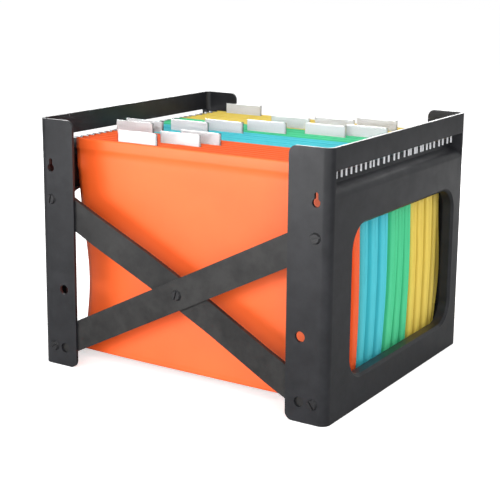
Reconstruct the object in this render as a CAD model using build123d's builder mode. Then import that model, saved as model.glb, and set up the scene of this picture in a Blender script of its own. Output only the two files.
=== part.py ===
from build123d import *
import os
from math import atan2, cos, tan

# Desktop frame for hanging file folders: two channel-shaped side panels tied together by
# crossed braces, and letter-size folders that hang from a rail inside each panel.
# Millimetres. The origin is on the floor below the middle. +X is right, +Y is the back.

# Overall size of the frame
frame_width = 345.0
frame_depth = 310.0
frame_height = 264.0

# Side panels
panel_wall = 3.0
flange_width = 44.5
bend_radius = 9.0
flange_corner_radius = 8.0

# Window in each side panel, with its edge turned inwards
window_front_margin = 47.5
window_rear_margin = 27.0
window_bottom = 32.5
window_to_slot = 37.5
window_corner_radius = 25.0
window_lip_depth = 12.0
window_edge_bevel = 2.6

# Slot below the top band, and the rail that is turned inwards from its lower edge
top_band_height = 21.5
slot_height = 21.5
slot_end_margin = 9.5
slot_corner_radius = 2.5
rail_inset = 14.0
rail_wall = 3.0
rail_rise = 14.5
rail_slope_rise = 5.5
sill_bend_radius = 8.5
rail_bend_radius = 1.5
rail_edge_radius = 1.4

# Holes in the flanges: insets from the panel's outer face, heights from the floor, and
# drops from the top
pivot_inset = 15.0
lower_pivot_height = 20.0
upper_pivot_drop = 84.0
spare_hole_inset = 29.3
spare_hole_radius = 5.25
upper_spare_hole_height = 84.0
lower_spare_hole_height = 20.0
keyhole_inset = 15.0
keyhole_drop = 51.0
keyhole_entry_radius = 4.25
keyhole_slot_radius = 2.1
keyhole_slot_length = 7.8

# Crossed braces
brace_width = 30.0
brace_thickness = 4.5
brace_corner_radius = 5.0
brace_end_gap = 0.5
crossing_gap = 0.1
bow_flat_half_length = 36.0
bow_slope_length = 70.0
bow_bend_radius = 120.0

# Slotted screws and their nuts
shank_radius = 2.5
shank_clearance = 0.2
screw_head_radius = 5.5
screw_head_height = 2.4
screw_head_taper = 1.2
screw_slot_width = 1.6
screw_slot_depth = 1.3
nut_across_flats = 8.0
nut_thickness = 3.2
nut_bore_clearance = 0.05
thread_past_nut = 0.4
front_slot_angles = (35.0, 80.0, 125.0, 20.0)
rear_slot_angles = (60.0, 10.0, 150.0, 100.0)
centre_slot_angles = (75.0, 40.0)

# Hanging folders
folder_side_gap = 6.5
folder_floor_gap = 7.1
card_thickness = 0.8
folder_half_spread = 5.0
fold_half_width = 1.6
hem_height = 13.0
hem_thickness = 2.4
hem_wall_top = 1.2
hook_tip_reach = 2.5
rod_height = 10.0
rod_thickness = 1.0
rod_hem_gap = 0.1
hook_play = 0.7
hook_seat_gap = 0.3
first_folder_margin = 37.6
last_folder_margin = 16.5

# How far the fold at the bottom of each folder stands behind its hems
orange_fold_leans = (11.0, 8.0, 5.0, 2.0)
cyan_fold_leans = (0.0, -3.0, -6.0)
green_fold_leans = (-9.0, -5.0, 0.0)
yellow_fold_leans = (3.5, 3.0, 0.0, -7.0)

# Colour groups from front to back, and the place of each of their folders along the rails,
# from 0 for the first folder of all to 1 for the last
colour_groups = (
    ("orange", (0.0, 0.076, 0.154, 0.232), orange_fold_leans),
    ("cyan", (0.299, 0.388, 0.478), cyan_fold_leans),
    ("green", (0.572, 0.631, 0.689), green_fold_leans),
    ("yellow", (0.748, 0.822, 0.912, 1.0), yellow_fold_leans),
)

# Index tabs: a strip of clear sheet folded over, pushed down behind each front hem
tab_width = 50.0
tab_reach_above_hem = 12.0
tab_grip = 8.0
tab_sheet = 0.4
tab_thickness = 1.4
tab_hem_gap = 0.05

# Place of each tab along its hem, from -1 at the left end to 1 at the right end
tab_places = (
    -0.57, -0.25, -0.16, -0.96, -0.96, -0.61, -0.37,
    -0.05, 0.47, 0.81, -0.02, 0.35, 0.68, -0.85,
)

# Places worked out from the sizes above
half_width = frame_width / 2
half_depth = frame_depth / 2
slot_top = frame_height - top_band_height
slot_bottom = slot_top - slot_height
rail_top = slot_bottom + rail_rise
rail_foot = slot_bottom + rail_slope_rise
sill_turn = atan2(rail_inset, rail_slope_rise)
sill_start = slot_bottom - sill_bend_radius * tan(sill_turn / 2)
window_top = slot_bottom - window_to_slot
flange_edge_x = half_width - flange_width
pivot_x = half_width - pivot_inset
upper_pivot_height = frame_height - upper_pivot_drop
keyhole_height = frame_height - keyhole_drop
flange_inner_y = half_depth - panel_wall
window_front_y = window_front_margin - half_depth
window_rear_y = half_depth - window_rear_margin
window_centre_y = (window_front_y + window_rear_y) / 2
window_centre_z = (window_bottom + window_top) / 2
window_length = window_rear_y - window_front_y
window_height = window_top - window_bottom
slot_half_length = half_depth - slot_end_margin
rail_outer_x = half_width - rail_inset
rail_inner_x = rail_outer_x - rail_wall
brace_angle = atan2(upper_pivot_height - lower_pivot_height, 2 * pivot_x)
brace_centre_z = (upper_pivot_height + lower_pivot_height) / 2
hem_top = rail_top + hook_seat_gap + rod_height / 2 + rod_hem_gap + hem_wall_top
folder_width = 2 * (rail_inner_x - folder_side_gap)
rod_length = 2 * (rail_outer_x + hook_tip_reach)

os.makedirs("parts", exist_ok=True)


def save(piece, name):
    """Label a finished piece and write it to its own file."""
    piece.label = name
    export_step(piece, f"parts/{name}.step")


# Side panels

window_plane = Plane(
    origin=(half_width, window_centre_y, window_centre_z), x_dir=(0, 1, 0), z_dir=(1, 0, 0)
)


def window_outline(border):
    """Sketch of the window on the panel's outer face, enlarged by a border all round."""
    with BuildSketch(window_plane) as outline:
        RectangleRounded(
            window_length + 2 * border, window_height + 2 * border, window_corner_radius + border
        )
    return outline.sketch


with BuildPart() as right_side_panel:
    # Web and both flanges, bent from one sheet
    with BuildSketch():
        with BuildLine():
            FilletPolyline(
                (flange_edge_x, -half_depth),
                (half_width, -half_depth),
                (half_width, half_depth),
                (flange_edge_x, half_depth),
                radius=bend_radius,
            )
            offset(amount=panel_wall, side=Side.LEFT)
        make_face()
    extrude(amount=frame_height)
    flange_corners = right_side_panel.edges().filter_by(Axis.Y).group_by(Axis.X)[0]
    fillet(flange_corners, flange_corner_radius)

    # Turned-in edge of the window, then the window itself
    extrude(window_outline(panel_wall), amount=-window_lip_depth)
    extrude(window_outline(0), amount=-window_lip_depth, mode=Mode.SUBTRACT)
    window_edge = right_side_panel.faces().sort_by(Axis.X)[-1].inner_wires()[0].edges()
    chamfer(window_edge, window_edge_bevel)

    # Slot below the top band
    slot_plane = Plane(
        origin=(half_width, 0, (sill_start + slot_top) / 2), x_dir=(0, 1, 0), z_dir=(1, 0, 0)
    )
    with BuildSketch(slot_plane):
        RectangleRounded(2 * slot_half_length, slot_top - sill_start, slot_corner_radius)
    extrude(amount=-panel_wall, mode=Mode.SUBTRACT)

    # Rail: the sheet below the slot bends round inwards, then turns up
    with BuildSketch(Plane.XZ.offset(-slot_half_length)) as rail:
        with BuildLine():
            FilletPolyline(
                (half_width, sill_start - panel_wall),
                (half_width, slot_bottom),
                (rail_outer_x, rail_foot),
                (rail_outer_x, rail_top),
                radius=(sill_bend_radius, rail_bend_radius),
            )
            offset(amount=rail_wall, side=Side.LEFT)
        make_face()
        fillet(rail.vertices().group_by(Axis.Y)[-1], rail_edge_radius)
    extrude(amount=2 * slot_half_length)

    # Cheeks that close the two ends of the rail's trough
    for end_y in (-slot_half_length, slot_half_length + rail_wall):
        with BuildSketch(Plane.XZ.offset(-end_y)):
            with BuildLine():
                Polyline(
                    (half_width - panel_wall, slot_bottom - panel_wall),
                    (half_width - panel_wall, slot_top),
                    (rail_inner_x, rail_top),
                    (rail_inner_x, rail_foot - rail_wall),
                    close=True,
                )
            make_face()
        extrude(amount=rail_wall)

    # Screw holes, spare holes and keyholes, through both flanges
    with BuildSketch(Plane.XZ.offset(-half_depth)):
        with Locations((pivot_x, lower_pivot_height), (pivot_x, upper_pivot_height)):
            Circle(shank_radius + shank_clearance)
        spare_x = half_width - spare_hole_inset
        with Locations((spare_x, lower_spare_hole_height), (spare_x, upper_spare_hole_height)):
            Circle(spare_hole_radius)
        with Locations((half_width - keyhole_inset, keyhole_height)):
            Circle(keyhole_entry_radius)
        with Locations((half_width - keyhole_inset, keyhole_height + keyhole_slot_length / 2)):
            SlotCenterToCenter(keyhole_slot_length, 2 * keyhole_slot_radius, rotation=90)
    extrude(amount=frame_depth, mode=Mode.SUBTRACT)

# The left panel is the same moulding, turned half round
with BuildPart() as left_side_panel:
    add(right_side_panel.part, rotation=(0, 0, 180))

save(right_side_panel.part, "right_side_panel")
save(left_side_panel.part, "left_side_panel")


# Braces: flat bars, cut upright at their ends to clear the bend of the panels

brace_end_x = half_width - bend_radius - brace_end_gap
brace_upright_width = brace_width / cos(brace_angle)


def brace_outline(direction):
    """Face of the slanted bar with its holes, rising to the right (+1) or falling (-1)."""
    end_rise = direction * brace_end_x * tan(brace_angle)
    half_upright = brace_upright_width / 2
    with BuildSketch(Plane.XZ.offset(half_depth)) as outline:
        with BuildLine():
            Polyline(
                (-brace_end_x, brace_centre_z - end_rise - half_upright),
                (brace_end_x, brace_centre_z + end_rise - half_upright),
                (brace_end_x, brace_centre_z + end_rise + half_upright),
                (-brace_end_x, brace_centre_z - end_rise + half_upright),
                close=True,
            )
        make_face()
        fillet(outline.vertices(), brace_corner_radius)
        with Locations(
            (-pivot_x, brace_centre_z - direction * pivot_x * tan(brace_angle)),
            (0, brace_centre_z),
            (pivot_x, brace_centre_z + direction * pivot_x * tan(brace_angle)),
        ):
            Circle(shank_radius + shank_clearance, mode=Mode.SUBTRACT)
    return outline.sketch


bow_depth = brace_thickness + crossing_gap
bow_start_x = bow_flat_half_length + bow_slope_length
brace_blank_height = upper_pivot_height + brace_upright_width

with BuildPart() as front_rising_brace:
    with BuildSketch():
        with BuildLine():
            Line((-half_width, -flange_inner_y), (half_width, -flange_inner_y))
            offset(amount=brace_thickness, side=Side.LEFT)
        make_face()
    extrude(amount=brace_blank_height)
    extrude(brace_outline(1), amount=-half_depth, mode=Mode.INTERSECT)

with BuildPart() as front_falling_brace:
    # Bowed back at the middle, by its neighbour's thickness
    with BuildSketch():
        with BuildLine():
            FilletPolyline(
                (-half_width, -flange_inner_y),
                (-bow_start_x, -flange_inner_y),
                (-bow_flat_half_length, bow_depth - flange_inner_y),
                (bow_flat_half_length, bow_depth - flange_inner_y),
                (bow_start_x, -flange_inner_y),
                (half_width, -flange_inner_y),
                radius=bow_bend_radius,
            )
            offset(amount=brace_thickness, side=Side.LEFT)
        make_face()
    extrude(amount=brace_blank_height)
    extrude(brace_outline(-1), amount=-half_depth, mode=Mode.INTERSECT)

with BuildPart() as rear_rising_brace:
    add(mirror(front_rising_brace.part, about=Plane.XZ, mode=Mode.PRIVATE))

with BuildPart() as rear_falling_brace:
    add(mirror(front_falling_brace.part, about=Plane.XZ, mode=Mode.PRIVATE))

save(front_rising_brace.part, "front_rising_brace")
save(front_falling_brace.part, "front_falling_brace")
save(rear_rising_brace.part, "rear_rising_brace")
save(rear_falling_brace.part, "rear_falling_brace")


# Fasteners


def slotted_screw(grip):
    """Screw with a tapered slotted head, its seat on the XY plane and its shank along -Z."""
    shank_length = grip + nut_thickness + thread_past_nut
    with BuildPart() as screw:
        Cylinder(shank_radius, shank_length, align=(Align.CENTER, Align.CENTER, Align.MAX))
        Cone(
            screw_head_radius,
            screw_head_radius - screw_head_taper,
            screw_head_height,
            align=(Align.CENTER, Align.CENTER, Align.MIN),
        )
        with Locations((0, 0, screw_head_height)):
            Box(
                2 * screw_head_radius,
                screw_slot_width,
                2 * screw_slot_depth,
                mode=Mode.SUBTRACT,
            )
    return screw.part


def hex_nut():
    """Hexagon nut that sits on the XY plane and points along +Z."""
    with BuildPart() as nut:
        with BuildSketch():
            RegularPolygon(nut_across_flats / 2, 6, major_radius=False)
            Circle(shank_radius + nut_bore_clearance, mode=Mode.SUBTRACT)
        extrude(amount=nut_thickness)
    return nut.part


end_grip = panel_wall + brace_thickness
centre_grip = 2 * brace_thickness + crossing_gap
end_screw = slotted_screw(end_grip)
centre_screw = slotted_screw(centre_grip)
nut = hex_nut()
end_screw_places = [
    (x, z) for x in (-pivot_x, pivot_x) for z in (lower_pivot_height, upper_pivot_height)
]

for side, facing, slot_angles, centre_angle in (
    ("front", -1, front_slot_angles, centre_slot_angles[0]),
    ("rear", 1, rear_slot_angles, centre_slot_angles[1]),
):
    outward = (0, facing, 0)
    inward = (0, -facing, 0)
    end_nut_y = facing * (half_depth - end_grip)
    centre_seat_y = facing * flange_inner_y
    centre_nut_y = facing * (flange_inner_y - centre_grip)

    with BuildPart() as end_screws:
        for (x, z), angle in zip(end_screw_places, slot_angles):
            seat = Plane((x, facing * half_depth, z), x_dir=(1, 0, 0), z_dir=outward)
            add(seat.location * Rot(0, 0, angle) * end_screw)
    save(end_screws.part, f"{side}_end_screws")

    with BuildPart() as end_nuts:
        for x, z in end_screw_places:
            add(Plane((x, end_nut_y, z), x_dir=(1, 0, 0), z_dir=inward).location * nut)
    save(end_nuts.part, f"{side}_end_nuts")

    with BuildPart() as middle_screw:
        seat = Plane((0, centre_seat_y, brace_centre_z), x_dir=(1, 0, 0), z_dir=outward)
        add(seat.location * Rot(0, 0, centre_angle) * centre_screw)
    save(middle_screw.part, f"{side}_centre_screw")

    with BuildPart() as middle_nut:
        seat = Plane((0, centre_nut_y, brace_centre_z), x_dir=(1, 0, 0), z_dir=inward)
        add(seat.location * nut)
    save(middle_nut.part, f"{side}_centre_nut")


# Hanging folders

rail_middle_x = (rail_outer_x + rail_inner_x) / 2
rod_centre_z = rail_top + hook_seat_gap
hem_centre_z = hem_top - hem_height / 2
hem_bottom = hem_top - hem_height


def folder_pocket(centre_y, fold_y):
    """One folded card: a hem along each top edge, and a narrow fold at the bottom."""
    with BuildPart() as pocket:
        with BuildSketch(Plane.YZ):
            with BuildLine() as card:
                Polyline(
                    (centre_y - folder_half_spread, hem_bottom),
                    (fold_y - fold_half_width, folder_floor_gap + card_thickness / 2),
                    (fold_y + fold_half_width, folder_floor_gap + card_thickness / 2),
                    (centre_y + folder_half_spread, hem_bottom),
                )
            trace(card.line, line_width=card_thickness)
            hem_places = [
                (centre_y - folder_half_spread, hem_centre_z),
                (centre_y + folder_half_spread, hem_centre_z),
            ]
            with Locations(*hem_places):
                Rectangle(hem_thickness, hem_height)
            rod_places = [(y, rod_centre_z) for y, z in hem_places]
            with Locations(*rod_places):
                Rectangle(
                    rod_thickness + 2 * rod_hem_gap,
                    rod_height + 2 * rod_hem_gap,
                    mode=Mode.SUBTRACT,
                )
        extrude(amount=folder_width / 2, both=True)
    return pocket.part


def suspension_rods(centre_y):
    """Two flat steel rods, each with a notch near both ends that hooks over a rail."""
    with BuildPart() as rods:
        for rod_y in (centre_y - folder_half_spread, centre_y + folder_half_spread):
            with BuildSketch(Plane.XZ.offset(-rod_y)):
                with Locations((0, rod_centre_z)):
                    Rectangle(rod_length, rod_height)
                with Locations((-rail_middle_x, rod_centre_z), (rail_middle_x, rod_centre_z)):
                    Rectangle(
                        rail_wall + 2 * hook_play,
                        rod_height,
                        align=(Align.CENTER, Align.MAX),
                        mode=Mode.SUBTRACT,
                    )
            extrude(amount=rod_thickness / 2, both=True)
    return rods.part


def index_tab(centre_y, place):
    """Folded clear strip, open at both ends for a label, standing behind the front hem."""
    centre_x = place * (folder_width - tab_width) / 2
    hem_face_y = centre_y - folder_half_spread + hem_thickness / 2
    front_y = hem_face_y + tab_hem_gap + tab_sheet / 2
    rear_y = front_y + tab_thickness - tab_sheet
    top_z = hem_top + tab_reach_above_hem - tab_sheet / 2
    with BuildPart() as tab:
        with BuildSketch(Plane.YZ.offset(centre_x)):
            with BuildLine() as strip:
                Polyline(
                    (front_y, hem_top - tab_grip),
                    (front_y, top_z),
                    (rear_y, top_z),
                    (rear_y, hem_top - tab_grip),
                )
            trace(strip.line, line_width=tab_sheet)
        extrude(amount=tab_width / 2, both=True)
    return tab.part


first_folder_y = first_folder_margin - half_depth
folders_run = frame_depth - first_folder_margin - last_folder_margin
remaining_tab_places = iter(tab_places)
for colour, folder_places, fold_leans in colour_groups:
    for number, (folder_place, fold_lean) in enumerate(zip(folder_places, fold_leans), 1):
        folder_y = first_folder_y + folder_place * folders_run
        name = f"{colour}_folder_{number}"
        save(folder_pocket(folder_y, folder_y + fold_lean), f"{name}_pocket")
        save(suspension_rods(folder_y), f"{name}_rods")
        save(index_tab(folder_y, next(remaining_tab_places)), f"{name}_tab")
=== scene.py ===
import math
import random

import bpy
from mathutils import Matrix, Vector


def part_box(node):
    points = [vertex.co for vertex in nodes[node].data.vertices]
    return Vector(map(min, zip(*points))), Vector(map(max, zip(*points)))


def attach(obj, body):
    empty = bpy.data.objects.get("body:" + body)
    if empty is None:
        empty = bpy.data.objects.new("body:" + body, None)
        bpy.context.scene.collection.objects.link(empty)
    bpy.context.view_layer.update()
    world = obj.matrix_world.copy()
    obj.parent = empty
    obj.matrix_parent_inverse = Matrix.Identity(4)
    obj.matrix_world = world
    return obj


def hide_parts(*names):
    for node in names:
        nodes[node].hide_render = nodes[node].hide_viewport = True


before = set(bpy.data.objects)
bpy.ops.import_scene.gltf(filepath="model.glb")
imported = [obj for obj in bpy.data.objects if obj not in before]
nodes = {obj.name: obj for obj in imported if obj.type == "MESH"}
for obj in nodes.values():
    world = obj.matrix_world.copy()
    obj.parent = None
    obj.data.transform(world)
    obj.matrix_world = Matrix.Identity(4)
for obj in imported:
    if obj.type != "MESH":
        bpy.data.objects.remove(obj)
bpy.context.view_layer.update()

# Looks of the desktop frame with hanging file folders, in metres. +X is right, +Y is the back.

scene = bpy.context.scene
MM = 0.001

folder_counts = (("orange", 4), ("cyan", 3), ("green", 3), ("yellow", 4))


# Camera, at the photograph's viewing angle

scene.view_settings.view_transform = "Standard"

camera_place = (0.6779, -1.0975, 0.4354)
camera_yaw, camera_pitch, camera_roll = (math.radians(angle) for angle in (32.084, 12.033, 0.589))

camera_data = bpy.data.cameras.new("camera")
camera_data.lens = 87.53
camera_data.sensor_width = 36.0
camera_data.shift_y = -0.0805
camera = bpy.data.objects.new("camera", camera_data)
camera.matrix_world = (
    Matrix.Translation(camera_place)
    @ Matrix.Rotation(camera_yaw, 4, "Z")
    @ Matrix.Rotation(math.pi / 2 - camera_pitch, 4, "X")
    @ Matrix.Rotation(camera_roll, 4, "Z")
)
scene.collection.objects.link(camera)
scene.camera = camera


# Soft studio light

def softbox(name, place, aim, size, watts):
    """Rectangular lamp aimed at a point, which the camera doesn't see."""
    data = bpy.data.lights.new(name, "AREA")
    data.shape = "RECTANGLE"
    data.size, data.size_y = size
    data.energy = watts
    lamp = bpy.data.objects.new(name, data)
    lamp.location = place
    lamp.rotation_euler = (Vector(aim) - Vector(place)).to_track_quat("-Z", "Y").to_euler()
    lamp.visible_camera = False
    scene.collection.objects.link(lamp)


softbox("key_front_left", place=(-0.42, -1.12, 0.2), aim=(0.08, -0.1, 0.24), size=(0.62, 0.24), watts=5.8)
softbox("fill_front", place=(0.35, -1.3, 0.5), aim=(-0.14, -0.1, 0.1), size=(0.5, 0.5), watts=7)
softbox("top", place=(0.1, -0.3, 1.8), aim=(0.0, 0.0, 0.15), size=(1.4, 1.2), watts=7)
softbox("fill_front_right", place=(1.25, -1.1, 0.7), aim=(0.05, 0.0, 0.12), size=(0.8, 0.8), watts=12)
softbox("rim_back_left", place=(-0.6, 1.35, 0.55), aim=(0.0, 0.0, 0.24), size=(1.4, 0.5), watts=20)
softbox("rim_back_right", place=(0.33, 0.55, 0.1), aim=(0.17, 0.14, 0.14), size=(0.14, 0.14), watts=0.05)


# Node helpers

class Nodes:
    """Short calls for building a node tree."""

    def __init__(self, tree):
        self.tree = tree
        tree.nodes.clear()

    def add(self, kind, **values):
        node = self.tree.nodes.new(kind)
        for key, value in values.items():
            setattr(node, key, value)
        return node

    def link(self, start, end):
        self.tree.links.new(start, end)

    def math(self, operation, first, second=None):
        node = self.add("ShaderNodeMath", operation=operation)
        for socket, value in zip(node.inputs, (first, second)):
            if isinstance(value, (int, float)):
                socket.default_value = value
            elif value is not None:
                self.link(value, socket)
        return node.outputs[0]

    def coordinates(self, scale=(1, 1, 1)):
        """Object coordinates in metres, stretched by a scale."""
        texture = self.add("ShaderNodeTexCoord")
        mapping = self.add("ShaderNodeMapping")
        mapping.inputs["Scale"].default_value = scale
        self.link(texture.outputs["Object"], mapping.inputs["Vector"])
        return mapping.outputs["Vector"]

    def noise(self, vector, scale, detail, roughness):
        node = self.add("ShaderNodeTexNoise")
        node.inputs["Scale"].default_value = scale
        node.inputs["Detail"].default_value = detail
        node.inputs["Roughness"].default_value = roughness
        self.link(vector, node.inputs["Vector"])
        return node.outputs["Fac"]

    def remap(self, value, low, high, from_low=0.0, from_high=1.0):
        node = self.add("ShaderNodeMapRange")
        node.inputs["From Min"].default_value = from_low
        node.inputs["From Max"].default_value = from_high
        node.inputs["To Min"].default_value = low
        node.inputs["To Max"].default_value = high
        self.link(value, node.inputs["Value"])
        return node.outputs["Result"]

    def mix(self, factor, first, second):
        node = self.add("ShaderNodeMix", data_type="RGBA")
        self.link(factor, node.inputs["Factor"])
        for socket, value in ((node.inputs["A"], first), (node.inputs["B"], second)):
            if isinstance(value, tuple):
                socket.default_value = (*value, 1.0)
            else:
                self.link(value, socket)
        return node.outputs["Result"]

    def bump(self, shader, height, strength, distance):
        node = self.add("ShaderNodeBump")
        node.inputs["Strength"].default_value = strength
        node.inputs["Distance"].default_value = distance
        self.link(height, node.inputs["Height"])
        self.link(node.outputs["Normal"], shader.inputs["Normal"])

    def seen_ray(self, in_gloss):
        """1 where the camera looks, also through a sleeve, and 0 for rays that light things.

        Reflections in a glossy surface get the share in_gloss.
        """
        path = self.add("ShaderNodeLightPath")
        # Diffuse Depth counts whole bounces, so this is 1 before the first
        undiffused = self.math("LESS_THAN", path.outputs["Diffuse Depth"], 0.5)
        through = self.math("MULTIPLY", path.outputs["Is Transmission Ray"], undiffused)
        seen = self.math("MAXIMUM", path.outputs["Is Camera Ray"], through)
        gloss = self.math("MULTIPLY", path.outputs["Is Glossy Ray"], in_gloss)
        return self.math("MAXIMUM", seen, gloss)


def new_material(name):
    """Material with a Principled shader, and its tree."""
    material = bpy.data.materials.new(name)
    material.use_nodes = True
    tree = Nodes(material.node_tree)
    output = tree.add("ShaderNodeOutputMaterial")
    shader = tree.add("ShaderNodeBsdfPrincipled")
    tree.link(shader.outputs[0], output.inputs["Surface"])
    return material, tree, shader


# World: plain light, and a white background where it is seen

white = (1.0, 1.0, 1.0, 1.0)


def light_world(strength, in_gloss):
    """Even light from all round, with a white background at the share that seen_ray gives."""
    world = bpy.data.worlds.new("world")
    scene.world = world
    world.use_nodes = True
    tree = Nodes(world.node_tree)
    output = tree.add("ShaderNodeOutputWorld")
    light = tree.add("ShaderNodeBackground")
    light.inputs["Color"].default_value = white
    light.inputs["Strength"].default_value = strength
    shown = tree.add("ShaderNodeBackground")
    shown.inputs["Color"].default_value = white
    shown.inputs["Strength"].default_value = 1.0
    mix = tree.add("ShaderNodeMixShader")
    tree.link(tree.seen_ray(in_gloss), mix.inputs[0])
    tree.link(light.outputs[0], mix.inputs[1])
    tree.link(shown.outputs[0], mix.inputs[2])
    tree.link(mix.outputs[0], output.inputs["Surface"])


light_world(strength=0.55, in_gloss=0.15)


# Materials

def moulded_plastic(name, colour, lighter, roughness, gloss):
    """Black satin plastic with a fine moulded grain, cloudy flow marks and faint handling marks."""
    material, tree, shader = new_material(name)
    where = tree.coordinates()
    cloud = tree.noise(where, scale=16.0, detail=5.0, roughness=0.6)
    flow = tree.noise(where, scale=70.0, detail=4.0, roughness=0.65)
    marks = tree.remap(tree.math("MULTIPLY", cloud, flow), 0.0, 1.0, from_low=0.16, from_high=0.36)
    tree.link(tree.mix(marks, colour, lighter), shader.inputs["Base Color"])

    smudge = tree.noise(where, scale=34.0, detail=5.0, roughness=0.6)
    satin = tree.remap(smudge, roughness - 0.06, roughness + 0.08, from_low=0.25, from_high=0.75)
    tree.link(satin, shader.inputs["Roughness"])
    shader.inputs["IOR"].default_value = 1.5
    shader.inputs["Specular IOR Level"].default_value = gloss

    grain = tree.noise(where, scale=1300.0, detail=2.0, roughness=0.6)
    tree.bump(shader, grain, strength=0.3, distance=0.12 * MM)
    return material


panel_plastic = moulded_plastic(
    "panel_plastic",
    colour=(0.0105, 0.011, 0.013), lighter=(0.0175, 0.018, 0.021), roughness=0.39, gloss=0.34,
)
brace_plastic = moulded_plastic(
    "brace_plastic",
    colour=(0.014, 0.0138, 0.014), lighter=(0.028, 0.0275, 0.027), roughness=0.42, gloss=0.28,
)
fastener_plastic = moulded_plastic(
    "fastener_plastic",
    colour=(0.011, 0.011, 0.012), lighter=(0.016, 0.016, 0.018), roughness=0.36, gloss=0.42,
)


def folder_card(name, colour, deeper, paler):
    """Coated card: a faint fibre mottle, a soft sheen and slow changes in the colour."""
    material, tree, shader = new_material(name)
    fibres = tree.noise(tree.coordinates((1.0, 1.0, 0.35)), scale=900.0, detail=4.0, roughness=0.65)
    mottle = tree.noise(tree.coordinates(), scale=9.0, detail=3.0, roughness=0.5)
    slow = tree.mix(tree.remap(mottle, 0.0, 1.0, from_low=0.3, from_high=0.7), deeper, paler)
    fine = tree.mix(tree.remap(fibres, 0.35, 0.65, from_low=0.35, from_high=0.65), colour, slow)
    tree.link(fine, shader.inputs["Base Color"])
    tree.link(tree.remap(fibres, 0.44, 0.54, from_low=0.3, from_high=0.7), shader.inputs["Roughness"])
    shader.inputs["Specular IOR Level"].default_value = 0.6
    tree.bump(shader, fibres, strength=0.15, distance=0.1 * MM)
    return material


# Each colour with its deeper and its paler tone
card_colours = {
    "orange": ((0.97, 0.13, 0.018), (0.96, 0.11, 0.014), (0.98, 0.155, 0.026)),
    "cyan": ((0.065, 0.6, 0.69), (0.05, 0.55, 0.64), (0.085, 0.66, 0.75)),
    "green": ((0.065, 0.66, 0.31), (0.05, 0.59, 0.26), (0.09, 0.71, 0.35)),
    "yellow": ((0.84, 0.64, 0.1), (0.8, 0.59, 0.08), (0.88, 0.69, 0.14)),
}
cards = {colour: folder_card(f"{colour}_card", *tones) for colour, tones in card_colours.items()}


def rod_steel():
    """Plated steel strip, with hook tips that are dipped in white plastic."""
    dark_plate, light_plate = (0.30, 0.31, 0.33), (0.48, 0.49, 0.51)
    dip_white = (0.86, 0.87, 0.89)
    dip_start, dip_end = 0.1593, 0.1597
    material, tree, shader = new_material("rod_steel")
    streaks = tree.noise(tree.coordinates((0.03, 1.0, 1.0)), scale=1400.0, detail=3.0, roughness=0.6)
    plated = tree.mix(streaks, dark_plate, light_plate)
    split = tree.add("ShaderNodeSeparateXYZ")
    tree.link(tree.coordinates(), split.inputs[0])
    from_middle = tree.math("ABSOLUTE", split.outputs["X"])
    dipped = tree.remap(from_middle, 0.0, 1.0, from_low=dip_start, from_high=dip_end)
    tree.link(tree.mix(dipped, plated, dip_white), shader.inputs["Base Color"])
    tree.link(tree.math("SUBTRACT", 1.0, dipped), shader.inputs["Metallic"])
    tree.link(tree.remap(streaks, 0.28, 0.42), shader.inputs["Roughness"])
    return material


def clear_sleeve():
    """Thin clear sheet of the index tabs, faintly hazed."""
    material, tree, shader = new_material("clear_sleeve")
    haze = tree.noise(tree.coordinates(), scale=260.0, detail=3.0, roughness=0.5)
    shader.inputs["Base Color"].default_value = (0.98, 0.985, 0.99, 1.0)
    shader.inputs["Transmission Weight"].default_value = 1.0
    shader.inputs["IOR"].default_value = 1.12
    tree.link(tree.remap(haze, 0.16, 0.3), shader.inputs["Roughness"])
    return material


def label_paper():
    """Uncoated white paper with a faint fibre."""
    material, tree, shader = new_material("label_paper")
    fibres = tree.noise(tree.coordinates(), scale=1200.0, detail=4.0, roughness=0.6)
    tree.link(tree.mix(fibres, (0.79, 0.79, 0.795), (0.85, 0.85, 0.855)), shader.inputs["Base Color"])
    shader.inputs["Roughness"].default_value = 0.7
    tree.bump(shader, fibres, strength=0.2, distance=0.1 * MM)
    return material


steel = rod_steel()
sleeve = clear_sleeve()
paper = label_paper()


# Mesh helpers

def mesh_piece(name, vertices, faces, material, smooth=True):
    """New object from vertices and faces, in one material."""
    mesh = bpy.data.meshes.new(name)
    mesh.from_pydata(vertices, [], faces)
    mesh.update()
    mesh.materials.append(material)
    for polygon in mesh.polygons:
        polygon.use_smooth = smooth
    piece = bpy.data.objects.new(name, mesh)
    scene.collection.objects.link(piece)
    return piece


def four_sided_piece(name, corners, material):
    """New object of one flat face."""
    return mesh_piece(name, corners, [(0, 1, 2, 3)], material, smooth=False)


def grid_faces(rows, columns):
    """Quads of a grid of vertices, row by row."""
    faces = []
    for row in range(rows - 1):
        for column in range(columns - 1):
            corner = row * columns + column
            faces.append((corner, corner + 1, corner + columns + 1, corner + columns))
    return faces


def thicken(piece, thickness):
    """Give a sheet its thickness, half to each side."""
    solid = piece.modifiers.new("thickness", "SOLIDIFY")
    solid.thickness = thickness
    solid.offset = 0


def paint(node, material):
    """Give a CAD node its material."""
    node.data.materials.clear()
    node.data.materials.append(material)


def soften(node, width):
    """Round the sharp edges of a CAD node and smooth what is curved."""
    weld = node.modifiers.new("weld", "WELD")
    weld.merge_threshold = 0.01 * MM
    bevel = node.modifiers.new("bevel", "BEVEL")
    bevel.width = width
    bevel.segments = 2
    bevel.limit_method = "ANGLE"
    bevel.angle_limit = math.radians(32)
    bevel.use_clamp_overlap = True
    for polygon in node.data.polygons:
        polygon.use_smooth = True
    smooth = node.modifiers.new("normals", "WEIGHTED_NORMAL")
    smooth.weight = 80


# Frame

moulded_edge = 0.6 * MM
fastener_edge = 0.3 * MM

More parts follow.
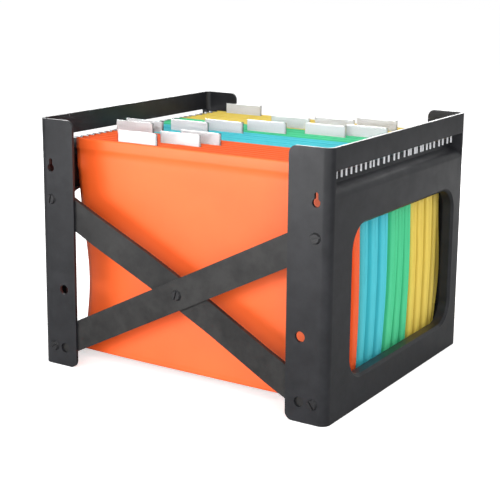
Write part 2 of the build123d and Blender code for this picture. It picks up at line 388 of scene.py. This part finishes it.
for side in ("right", "left"):
    panel = nodes[f"{side}_side_panel"]
    paint(panel, panel_plastic)
    soften(panel, moulded_edge)
for side in ("front", "rear"):
    for slope in ("rising", "falling"):
        brace = nodes[f"{side}_{slope}_brace"]
        paint(brace, brace_plastic)
        soften(brace, moulded_edge)
    for fastener_name in ("end_screws", "end_nuts", "centre_screw", "centre_nut"):
        fastener = nodes[f"{side}_{fastener_name}"]
        paint(fastener, fastener_plastic)
        soften(fastener, fastener_edge)


# Sizes of the hanging folders

card_thickness = 0.42 * MM
card_columns = 60
leaf_rows = 34
rod_half = 0.5 * MM
rod_edge = 0.2 * MM

hem_height = 13 * MM
hem_half = 0.85 * MM
hem_turn_drop = 2.2 * MM
hem_shoulder_drop = 0.9 * MM
hem_shoulder_share = 0.8
hem_flap_edge = 2 * MM
hem_outer_edge = 2.5 * MM
hem_crease_rise = 0.6 * MM
hem_crease_share = 0.6

fold_half = 1.6 * MM
fold_rise = 2.2 * MM
fold_steps = 8
fold_edge_band = 0.1 * MM

# The leaf's outward ridge just below the hem, and its inward belly, which is flatter at the ends
brow_depth = 0.55 * MM
brow_drop = 8 * MM
belly_range = (0.3 * MM, 1.3 * MM)
belly_loss_at_ends = 0.5

# Bends grow from nothing at the hem to their full size a sixth of the way down the leaf
bend_growth = 6


# Bends of the folders' leaves

class Curl:
    """Bend of a leaf's end towards the back, strongest at one height and fading along the leaf.

    The end is -1 for the left and 1 for the right. The size, the height and how far the bend
    spreads above and below it are in millimetres, and a negative size bends the end forwards.
    The reach is a share of half the leaf's width.
    """

    def __init__(self, end, size, height, above, below, reach):
        self.end, self.size, self.height = end, size * MM, height * MM
        self.above, self.below, self.reach = above * MM, below * MM, reach

    def bend(self, across, z):
        inner = 1 - self.reach
        along = max(0.0, self.end * across - inner) / self.reach
        spread = self.above if z > self.height else self.below
        return self.size * along ** 2 * math.exp(-((z - self.height) / spread) ** 2)


def window_curl(size):
    """Bend of a right end where the window shows it."""
    return Curl(1, size, height=95, above=105, below=100, reach=0.75)


def small_curls(rng):
    """Slight bends at both ends of a leaf, as handled folders have."""
    return tuple(
        Curl(
            end,
            size=rng.uniform(-0.8, 0.8),
            height=rng.uniform(50, 150),
            above=rng.uniform(35, 80),
            below=rng.uniform(35, 80),
            reach=rng.uniform(0.3, 0.7),
        )
        for end in (-1, 1)
    )


# How far each folder's right end bends back, in millimetres
right_end_bends = {
    "orange": (0.0, 2.2, 4.6, 7.0),
    "cyan": (8.4, 9.6, 10.8),
    "green": (10.8, 10.1, 9.4),
    "yellow": (8.8, 8.3, 7.8, 0.0),
}

# Curls of the first and the last folder: those of the front leaf, then those of the rear leaf
shown_curls = {
    ("orange", 1): (
        (
            Curl(-1, 12.0, height=85, above=72, below=60, reach=0.75),
            Curl(1, 2.0, height=80, above=60, below=60, reach=0.5),
        ),
        (
            Curl(-1, 9.0, height=85, above=72, below=60, reach=0.75),
            Curl(1, 1.5, height=80, above=60, below=60, reach=0.5),
        ),
    ),
    ("yellow", 4): (
        (
            window_curl(7.5),
            Curl(-1, 6.0, height=60, above=62, below=52, reach=0.8),
        ),
        (
            Curl(1, 14.2, height=80, above=62, below=62, reach=0.8),
            Curl(-1, 9.0, height=60, above=62, below=52, reach=0.8),
        ),
    ),
}

# The first folder's bellies and the place of its fold, which the photograph shows further forward
shown_bellies = {("orange", 1): (3.4 * MM, 0.6 * MM)}
shown_folds = {("orange", 1): -116 * MM}


# Cards of the hanging folders

def hem_section(top, inward):
    """Section of a hem from its inner flap, over the rod, to its outer face, with y from the rod."""
    flap = top - hem_height
    inner, outer = inward * hem_half, -inward * hem_half
    return [
        (inner, flap),
        (inner, flap + hem_flap_edge),
        (inner, top - hem_turn_drop),
        (inner * hem_shoulder_share, top - hem_shoulder_drop),
        (0.0, top - card_thickness / 2),
        (outer * hem_shoulder_share, top - hem_shoulder_drop),
        (outer, top - hem_turn_drop),
        (outer, flap + hem_outer_edge),
        (outer * hem_crease_share, flap + hem_crease_rise),
    ]


def fold_middle(pocket, foot):
    """Middle of a CAD pocket's lowest edge, from front to back."""
    lowest = [v.co.y for v in pocket.data.vertices if v.co.z < foot + fold_edge_band]
    return (min(lowest) + max(lowest)) / 2


def folder_pocket(colour, number, rng):
    """One bent card: two hems, two leaves that bow and curl, and the fold between them."""
    name = f"{colour}_folder_{number}"
    key = (colour, number)
    low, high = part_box(f"{name}_pocket")
    rods_low, rods_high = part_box(f"{name}_rods")
    hems = (rods_low.y + rod_half, rods_high.y - rod_half)
    fold = shown_folds.get(key, fold_middle(nodes[f"{name}_pocket"], low.z))
    folds = (fold - fold_half, fold + fold_half)
    bellies = shown_bellies.get(key, (rng.uniform(*belly_range), rng.uniform(*belly_range)))
    leaf_curls = shown_curls.get(key, (small_curls(rng), small_curls(rng)))
    right_curl = window_curl(right_end_bends[colour][number - 1])
    top, foot = high.z, low.z + fold_rise
    hem_foot = top - hem_height

    middle_x, half_x = (low.x + high.x) / 2, (high.x - low.x) / 2
    places = [low.x + (high.x - low.x) * column / card_columns for column in range(card_columns + 1)]
    columns = [(x, (x - middle_x) / half_x) for x in places]
    heights = [hem_foot + (foot - hem_foot) * row / leaf_rows for row in range(leaf_rows + 1)]

    def leaf_y(leaf, across, z):
        """Place of a leaf's surface: leaf 0 is the front one, and across runs from -1 to 1."""
        down = (hem_foot - z) / (hem_foot - foot)
        inward = 1 if leaf == 0 else -1
        flat = hems[leaf] + (folds[leaf] - hems[leaf]) * down
        belly = inward * bellies[leaf] * math.sin(math.pi * down) * (1 - belly_loss_at_ends * across ** 2)
        brow = -inward * brow_depth * math.exp(-((hem_foot - brow_drop - z) / brow_drop) ** 2)
        curl = sum(c.bend(across, z) for c in (*leaf_curls[leaf], right_curl))
        return flat + belly + (brow + curl) * min(1.0, down * bend_growth)

    def hem_grid(leaf, section):
        return [(x, hems[leaf] + y, z) for y, z in section for x, across in columns]

    def leaf_grid(leaf, levels):
        return [(x, leaf_y(leaf, across, z), z) for z in levels for x, across in columns]

    def fold_grid():
        """Vertices of the round bottom that joins the leaves' feet."""
        points = []
        for step in range(1, fold_steps):
            turn = math.pi * step / fold_steps
            z = foot - math.sin(turn) * (fold_rise - card_thickness / 2)
            for x, across in columns:
                front_y, rear_y = leaf_y(0, across, foot), leaf_y(1, across, foot)
                points.append((x, (front_y + rear_y) / 2 - math.cos(turn) * (rear_y - front_y) / 2, z))
        return points

    vertices = hem_grid(0, hem_section(top, inward=1))
    vertices += leaf_grid(0, heights)
    vertices += fold_grid()
    vertices += leaf_grid(1, reversed(heights))
    vertices += hem_grid(1, reversed(hem_section(top, inward=-1)))

    faces = grid_faces(len(vertices) // len(columns), len(columns))
    piece = mesh_piece(f"{name}_card", vertices, faces, cards[colour])
    thicken(piece, card_thickness)
    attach(piece, name)
    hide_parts(f"{name}_pocket")


# Index tabs

tab_sheet = 0.28 * MM
tab_corner = 0.45 * MM
tab_corner_steps = 4
tab_skirt = 3 * MM
tab_columns = 12

label_thickness = 0.3 * MM
label_side_gap = 0.4 * MM
label_foot_gap = 1.5 * MM
label_top_gap = 0.5 * MM


def index_tab(colour, number):
    """Clear folded sleeve with a blank paper label inside."""
    name = f"{colour}_folder_{number}"
    low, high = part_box(f"{name}_tab")
    front, back = low.y + tab_sheet / 2, high.y - tab_sheet / 2
    top, foot = high.z - tab_sheet / 2, low.z
    turns = [math.pi / 2 * step / tab_corner_steps for step in range(tab_corner_steps + 1)]
    rounding = [(tab_corner * (1 - math.cos(turn)), tab_corner * (1 - math.sin(turn))) for turn in turns]
    section = [(front, foot), (front, foot + tab_skirt)]
    section += [(front + inset, top - drop) for inset, drop in rounding]
    section += [(back - inset, top - drop) for drop, inset in rounding]
    section += [(back, foot + tab_skirt), (back, foot)]
    places = [low.x + (high.x - low.x) * column / tab_columns for column in range(tab_columns + 1)]
    vertices = [(x, y, z) for y, z in section for x in places]
    piece = mesh_piece(f"{name}_tab_sleeve", vertices, grid_faces(len(section), len(places)), sleeve)
    thicken(piece, tab_sheet)
    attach(piece, name)
    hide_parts(f"{name}_tab")

    middle = (front + back) / 2
    left, right = low.x + label_side_gap, high.x - label_side_gap
    label_foot, label_top = foot + label_foot_gap, top - label_top_gap
    corners = [(left, middle, label_foot), (right, middle, label_foot),
               (right, middle, label_top), (left, middle, label_top)]
    label = four_sided_piece(f"{name}_tab_label", corners, paper)
    thicken(label, label_thickness)
    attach(label, name)


# All folders, from the front to the back

rng = random.Random(7)
for colour, count in folder_counts:
    for number in range(1, count + 1):
        folder_pocket(colour, number, rng)
        index_tab(colour, number)
        rods = nodes[f"{colour}_folder_{number}_rods"]
        paint(rods, steel)
        soften(rods, rod_edge)


# Floor, just under the panels' feet

floor_half = 8.0
floor_z = -0.4 * MM


def white_floor(glow_strength):
    """Pale ground that is seen as white, except where the object shades it."""
    pale, pale_in_gloss = (0.85, 0.85, 0.85), (0.4, 0.4, 0.4)
    material = bpy.data.materials.new("floor")
    material.use_nodes = True
    tree = Nodes(material.node_tree)
    output = tree.add("ShaderNodeOutputMaterial")
    path = tree.add("ShaderNodeLightPath")
    diffuse = tree.add("ShaderNodeBsdfDiffuse")
    tree.link(tree.mix(path.outputs["Is Glossy Ray"], pale, pale_in_gloss), diffuse.inputs["Color"])
    glow = tree.add("ShaderNodeEmission")
    glow.inputs["Color"].default_value = white
    seen = tree.seen_ray(in_gloss=0.0)
    tree.link(tree.math("MULTIPLY", seen, glow_strength), glow.inputs["Strength"])
    both = tree.add("ShaderNodeAddShader")
    tree.link(diffuse.outputs[0], both.inputs[0])
    tree.link(glow.outputs[0], both.inputs[1])
    tree.link(both.outputs[0], output.inputs["Surface"])
    return material


floor_corners = [(-floor_half, -floor_half, floor_z), (floor_half, -floor_half, floor_z),
                 (floor_half, floor_half, floor_z), (-floor_half, floor_half, floor_z)]
floor = four_sided_piece("floor", floor_corners, white_floor(glow_strength=0.55))
